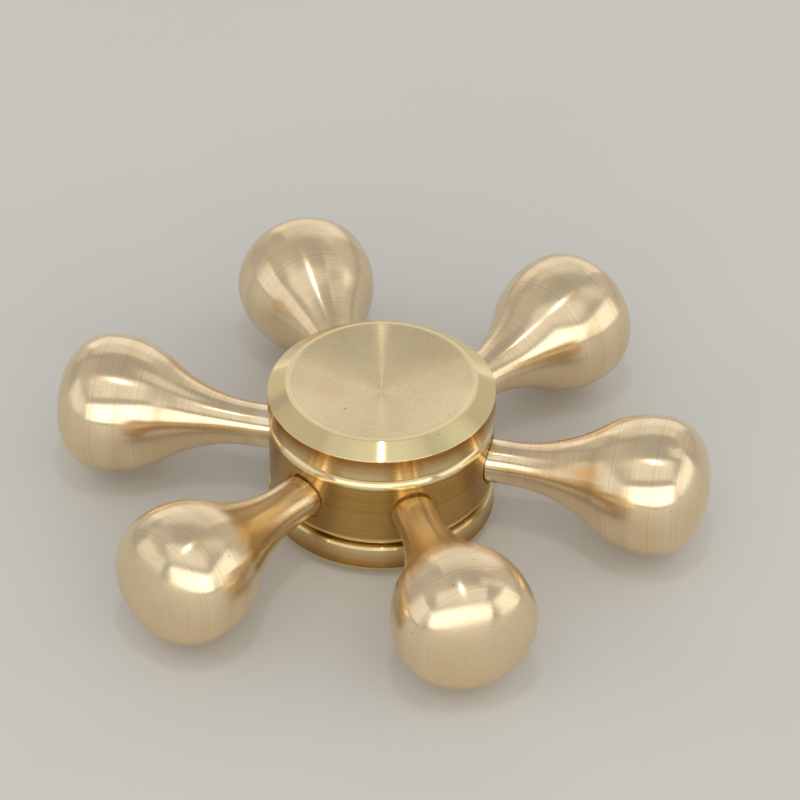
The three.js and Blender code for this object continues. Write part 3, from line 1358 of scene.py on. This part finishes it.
@dataclass
class Bearing:
    """The shielded ball bearing inside the hub. Sizes in mm."""

    facets: int = 96
    bore: float = 3.175
    radius: float = 6.35
    half_width: float = 2.381
    ball_count: int = 10
    ball_radius: float = 0.794
    pitch_radius: float = 4.7625
    groove_radius: float = 0.84
    clearance: float = 0.04
    outer_land: float = 5.3
    inner_land: float = 4.22
    edge: float = 0.25
    shield_seat: float = 1.86
    shield_thickness: float = 0.17
    shield_bore: float = 4.34
    shield_radius: float = 5.88
    shield_recess: float = 5.95
    ring_seat: float = 2.07
    ring_thickness: float = 0.17
    ring_bore: float = 5.65
    ring_radius: float = 5.98
    ring_groove: float = 6.05
    ring_groove_top: float = 2.28
    ring_mouth: float = math.radians(24)
    cage_bottom: float = -1.25
    cage_top: float = 0.5
    cage_bore: float = 4.42
    cage_radius: float = 5.12
    pocket_radius: float = 0.9
    gap: float = 0.02
    sheet_edge: float = 0.06

    GROOVE_STEPS = 12
    BALL_STEPS = 32
    BALL_FACETS = 48
    POCKET_STEPS = 24
    POCKET_FACETS = 32

    def groove(self, floor: float, lip: float, side: float) -> list[Corner]:
        """Returns the arc of a ball groove from its lower lip to its upper lip.

        Args:
            floor: Radius at the bottom of the groove.
            lip: Radius of the land on each side.
            side: 1 for a groove that opens outwards, -1 for one that opens inwards.

        Returns:
            The arc's corners.
        """
        centre = floor + side * self.groove_radius
        half_angle = math.acos((centre - lip) / (side * self.groove_radius))
        angles = [half_angle * (2 * step / self.GROOVE_STEPS - 1) for step in range(self.GROOVE_STEPS + 1)]
        return [
            Corner(centre - side * self.groove_radius * math.cos(angle), self.groove_radius * math.sin(angle))
            for angle in angles
        ]

    def outer_race(self) -> list[Corner]:
        """Draws the outer race, with the seats for the shields and their rings.

        Returns:
            The race's outline.
        """
        seat = [
            Corner(self.outer_land, self.shield_seat),
            Corner(self.shield_recess, self.shield_seat),
            Corner(self.shield_recess, self.ring_seat),
            Corner(self.ring_groove, self.ring_seat),
            Corner(self.ring_groove, self.ring_groove_top),
            Corner(self.shield_recess, self.ring_groove_top),
            Corner(self.shield_recess, self.half_width),
        ]
        floor = self.pitch_radius + self.ball_radius + self.clearance
        inside = [*mirrored(seat), *self.groove(floor, self.outer_land, -1.0), *seat]
        return [
            Corner(self.radius, -self.half_width, edge=self.edge),
            Corner(self.radius, self.half_width, edge=self.edge),
            *reversed(inside),
        ]

    def inner_race(self) -> list[Corner]:
        """Draws the inner race.

        Returns:
            The race's outline.
        """
        floor = self.pitch_radius - self.ball_radius - self.clearance
        return [
            Corner(self.bore, -self.half_width, edge=0.2),
            Corner(self.inner_land, -self.half_width, edge=0.1),
            *self.groove(floor, self.inner_land, 1.0),
            Corner(self.inner_land, self.half_width, edge=0.1),
            Corner(self.bore, self.half_width, edge=0.2),
        ]

    def washer(self, bore: float, radius: float, seat: float, thickness: float) -> list[Corner]:
        """Draws a flat ring that lies on a seat.

        Args:
            bore: The ring's inner radius.
            radius: Its outer radius.
            seat: Height of the seat.
            thickness: The ring's thickness.

        Returns:
            The ring's outline.
        """
        low, high = seat + self.gap, seat + self.gap + thickness
        return [Corner(bore, low), Corner(radius, low), Corner(radius, high), Corner(bore, high)]

    @staticmethod
    def half_circle(radius: float, steps: int) -> list[Corner]:
        """Draws a sphere.

        Args:
            radius: The sphere's radius, in mm.
            steps: Number of steps from its foot to its top.

        Returns:
            The sphere's outline.
        """
        angles = [math.pi * (step / steps - 0.5) for step in range(1, steps)]
        arc = [Corner(radius * math.cos(angle), radius * math.sin(angle)) for angle in angles]
        return [Corner(0.0, -radius), *arc, Corner(0.0, radius)]

    def split_ring(self, name: str) -> bpy.types.Mesh:
        """Makes a shield's sprung ring: a washer with a mouth sawn through it.

        Args:
            name: Name of the mesh.

        Returns:
            The ring, on top of the bearing.
        """
        whole = turned(
            name,
            self.washer(self.ring_bore, self.ring_radius, self.ring_seat, self.ring_thickness),
            self.facets,
            closed=True,
        )
        saw = bpy.data.meshes.new("saw")
        work = bmesh.new()
        bmesh.ops.create_cube(work, size=1.0)
        work.to_mesh(saw)
        work.free()
        width = 2 * self.ring_radius * math.sin(self.ring_mouth / 2)
        # The saw reaches 1 mm to each side of the ring's outer edge, and of its seat.
        place = Matrix.Translation((self.ring_radius * MM, 0.0, self.ring_seat * MM))
        place = place @ Matrix.Diagonal((2 * MM, width * MM, 2 * MM, 1.0))
        cut = cut_away(whole, [(saw, place)])
        reface(cut, lambda point: None, 0.0)
        return cut

    def cage(self) -> bpy.types.Mesh:
        """Makes the crown cage, with a round pocket over each ball.

        Returns:
            The cage, round the middle of the bearing.
        """
        low, high = self.cage_bottom, self.cage_top
        loop = [
            Corner(self.cage_bore, low, edge=self.sheet_edge),
            Corner(self.cage_radius, low, edge=self.sheet_edge),
            Corner(self.cage_radius, high, edge=self.sheet_edge),
            Corner(self.cage_bore, high, edge=self.sheet_edge),
        ]
        ring = turned("bearing_cage", loop, self.facets, closed=True)
        pocket = self.half_circle(self.pocket_radius, self.POCKET_STEPS)
        pockets = [
            (turned("pocket", pocket, self.POCKET_FACETS), self.ball_place(index))
            for index in range(self.ball_count)
        ]
        cut = cut_away(ring, pockets)
        reface(cut, lambda point: None, 0.0)
        return cut

    def ball_place(self, index: int) -> Matrix:
        """Spaces the balls round the bearing.

        Args:
            index: The ball's number, from 0.

        Returns:
            Its place, from the middle of the bearing.
        """
        angle = 2 * math.pi * index / self.ball_count
        spot = Vector((math.cos(angle), math.sin(angle), 0.0)) * self.pitch_radius * MM
        return Matrix.Translation(spot)

    def build(self, finishes: Finishes) -> None:
        """Builds the races, balls, cage, shields and rings.

        Args:
            finishes: The spinner's finishes.
        """
        middle = at_mid_height()
        races = {"bearing_outer_race": self.outer_race(), "bearing_inner_race": self.inner_race()}
        for node, corners in races.items():
            fit_piece(node, turned(node, corners, self.facets, closed=True), finishes.ground, middle)
        ball = self.half_circle(self.ball_radius, self.BALL_STEPS)
        for index in range(self.ball_count):
            node = f"bearing_ball_{index + 1}"
            mesh = turned(node, ball, self.BALL_FACETS)
            fit_piece(node, mesh, finishes.lapped, middle @ self.ball_place(index))
        fit_piece("bearing_cage", self.cage(), finishes.pressed, middle)
        shield = self.washer(self.shield_bore, self.shield_radius, self.shield_seat, self.shield_thickness)
        for side, turn in {"top": 0.0, "bottom": math.pi}.items():
            place = middle @ Matrix.Rotation(turn, 4, "X")
            node = f"bearing_shield_{side}"
            fit_piece(node, turned(node, shield, self.facets, closed=True), finishes.pressed, place)
            node = f"shield_ring_{side}"
            fit_piece(node, self.split_ring(node), finishes.pressed, place)


# ---------------------------------------------------------------------------------------------------------
# Studio
# ---------------------------------------------------------------------------------------------------------


@dataclass(frozen=True)
class Softbox:
    """A flat diffused lamp, aimed at the spinner.

    Attributes:
        name: The lamp's name.
        azimuth: Its bearing from the spinner, in degrees, from the camera's bearing round to the right.
        elevation: Its height above the horizon, in degrees.
        distance: Its distance, in mm.
        width: Its width, in mm.
        height: Its height, in mm.
        glow: How bright its face is. At 1 it shows as white.
        colour: Its colour, as sRGB hex.
    """

    name: str
    azimuth: float
    elevation: float
    distance: float
    width: float
    height: float
    glow: float
    colour: str = "FFFFFF"

    def build(self, target: Vector, bearing: float) -> None:
        """Hangs the lamp and aims it.

        Args:
            target: The point that it is aimed at, in metres.
            bearing: The camera's bearing from the spinner, in degrees.
        """
        lamp = bpy.data.lights.new(self.name, "AREA")
        lamp.shape = "RECTANGLE"
        lamp.size, lamp.size_y = self.width * MM, self.height * MM
        lamp.energy = self.glow * math.pi * lamp.size * lamp.size_y
        lamp.color = linear(self.colour)[:3]
        holder = bpy.data.objects.new(self.name, lamp)
        back = direction(bearing + self.azimuth, self.elevation)
        holder.location = target + back * self.distance * MM
        holder.rotation_mode = "QUATERNION"
        holder.rotation_quaternion = (-back).to_track_quat("-Z", "Y")
        bpy.context.scene.collection.objects.link(holder)


def direction(azimuth: float, elevation: float) -> Vector:
    """Finds the way to a point in the room.

    Args:
        azimuth: Its bearing in degrees, from -Y round to +X.
        elevation: Its height above the horizon, in degrees.

    Returns:
        The unit vector.
    """
    bearing, height = math.radians(azimuth), math.radians(elevation)
    return Vector((
        math.sin(bearing) * math.cos(height),
        -math.cos(bearing) * math.cos(height),
        math.sin(height),
    ))


# Name, azimuth, elevation, distance, width, height, glow and colour.
SOFTBOXES = (
    # A small lamp almost overhead draws the thin bright line in the dish and the spot on the bevel in front.
    Softbox("overhead_lamp", 0.0, 76.0, 420.0, 10.0, 26.0, 110.0, "FFFAF0"),
    # A window and a panel behind the spinner light the dished face, and stop short of the V at its rear.
    Softbox("rear_window", 178.0, 14.0, 700.0, 760.0, 300.0, 0.52, "FFFCF6"),
    Softbox("rear_panel", 178.0, 38.0, 700.0, 700.0, 300.0, 0.34, "FFFCF6"),
    # Low windows behind and beside the camera light the hub's rounded edge and the near sides of the arms.
    Softbox("front_window", 2.0, 20.0, 800.0, 1500.0, 450.0, 1.45, "FDFFFA"),
    Softbox("right_window", 80.0, 17.0, 800.0, 700.0, 420.0, 0.8, "FDFFFA"),
    Softbox("left_window", -80.0, 17.0, 800.0, 700.0, 420.0, 0.45),
    # A panel over the camera lights the bevel and the tops of the arms.
    Softbox("top_panel", 0.0, 64.0, 700.0, 1100.0, 440.0, 0.45, "FDFFFA"),
    Softbox("right_panel", 103.0, 48.0, 700.0, 200.0, 420.0, 0.34, "F8FFEE"),
    # Dim warm panels at the back corners lift the bevel's two sides.
    Softbox("left_panel", -104.0, 48.0, 700.0, 560.0, 520.0, 0.12, "FFF0D6"),
    Softbox("left_corner", -147.0, 13.0, 700.0, 300.0, 260.0, 0.2, "FFEFD2"),
    Softbox("right_corner", 132.0, 26.0, 700.0, 420.0, 420.0, 0.13, "FFF0D6"),
)


@dataclass
class Studio:
    """A pale table top, soft lamps and the camera. Sizes in mm, angles in degrees."""

    softboxes: Sequence[Softbox] = SOFTBOXES
    floor_side: float = 3000.0
    sky: str = "F4F4F2"
    sky_strength: float = 0.5
    camera_azimuth: float = 13.3
    camera_elevation: float = 39.17
    camera_distance: float = 417.0
    camera_roll: float = 0.4
    lens: float = 202.5
    aim_right: float = 1.71
    aim_up: float = 4.01

    # The table lies this far below the lower button's land, so that the two faces don't coincide.
    FLOOR_GAP = 0.01
    NEAR_CLIP = 10.0
    FAR_CLIP = 10000.0

    def lay_floor(self) -> None:
        """Lays the table top just under the spinner."""
        mesh = bpy.data.meshes.new("floor")
        work = bmesh.new()
        bmesh.ops.create_grid(work, x_segments=1, y_segments=1, size=self.floor_side / 2 * MM)
        work.to_mesh(mesh)
        work.free()
        mesh.materials.append(MattLaminate().build())
        floor = bpy.data.objects.new("floor", mesh)
        floor.location.z = CAD_BOUNDS[0].z - self.FLOOR_GAP * MM
        bpy.context.scene.collection.objects.link(floor)

    def light(self, middle: Vector) -> None:
        """Lights the room and hangs the lamps.

        Args:
            middle: The point that they are aimed at, in metres.
        """
        world = bpy.data.worlds.new("room")
        world.use_nodes = True
        background = world.node_tree.nodes["Background"]
        background.inputs["Color"].default_value = linear(self.sky)
        background.inputs["Strength"].default_value = self.sky_strength
        bpy.context.scene.world = world
        for softbox in self.softboxes:
            softbox.build(middle, self.camera_azimuth)

    def aim_camera(self, middle: Vector) -> None:
        """Stands the camera at its distance and aims it.

        Args:
            middle: The middle of the spinner, in metres. The camera looks a little to one side of it.
        """
        lens = bpy.data.cameras.new("camera")
        lens.lens = self.lens
        lens.clip_start = self.NEAR_CLIP * MM
        lens.clip_end = self.FAR_CLIP * MM
        camera = bpy.data.objects.new("camera", lens)
        back = direction(self.camera_azimuth, self.camera_elevation)
        right = Vector((0.0, 0.0, 1.0)).cross(back).normalized()
        up = back.cross(right)
        camera.location = middle + back * self.camera_distance * MM
        target = middle + (right * self.aim_right + up * self.aim_up) * MM
        camera.rotation_mode = "QUATERNION"
        level = (target - camera.location).to_track_quat("-Z", "Y")
        camera.rotation_quaternion = level @ Quaternion((0.0, 0.0, 1.0), math.radians(self.camera_roll))
        bpy.context.scene.collection.objects.link(camera)
        bpy.context.scene.camera = camera

    def build(self) -> None:
        """Builds the studio round the middle of the spinner."""
        middle = Vector((0.0, 0.0, MID_HEIGHT * MM))
        self.lay_floor()
        self.light(middle)
        self.aim_camera(middle)
        # The plain view keeps the brass's own hue, which a filmic one washes out.
        bpy.context.scene.view_settings.view_transform = "Standard"


def main() -> None:
    """Builds the spinner's pieces, then the studio."""
    logging.basicConfig(level=logging.INFO, format="%(name)s: %(message)s")
    finishes = Finishes.make()
    arm_count = sum(node.startswith("arm_") for node in frame["nodes"])
    angles = [2 * math.pi * index / arm_count for index in range(arm_count)]
    FingerButton("top_button", True).build(finishes)
    FingerButton("bottom_button", False).build(finishes)
    Hub().build(finishes, angles)
    for index, angle in enumerate(angles):
        Arm().build(index + 1, angle, finishes)
    Bearing().build(finishes)
    Studio().build()


if __name__ == "__main__":
    main()
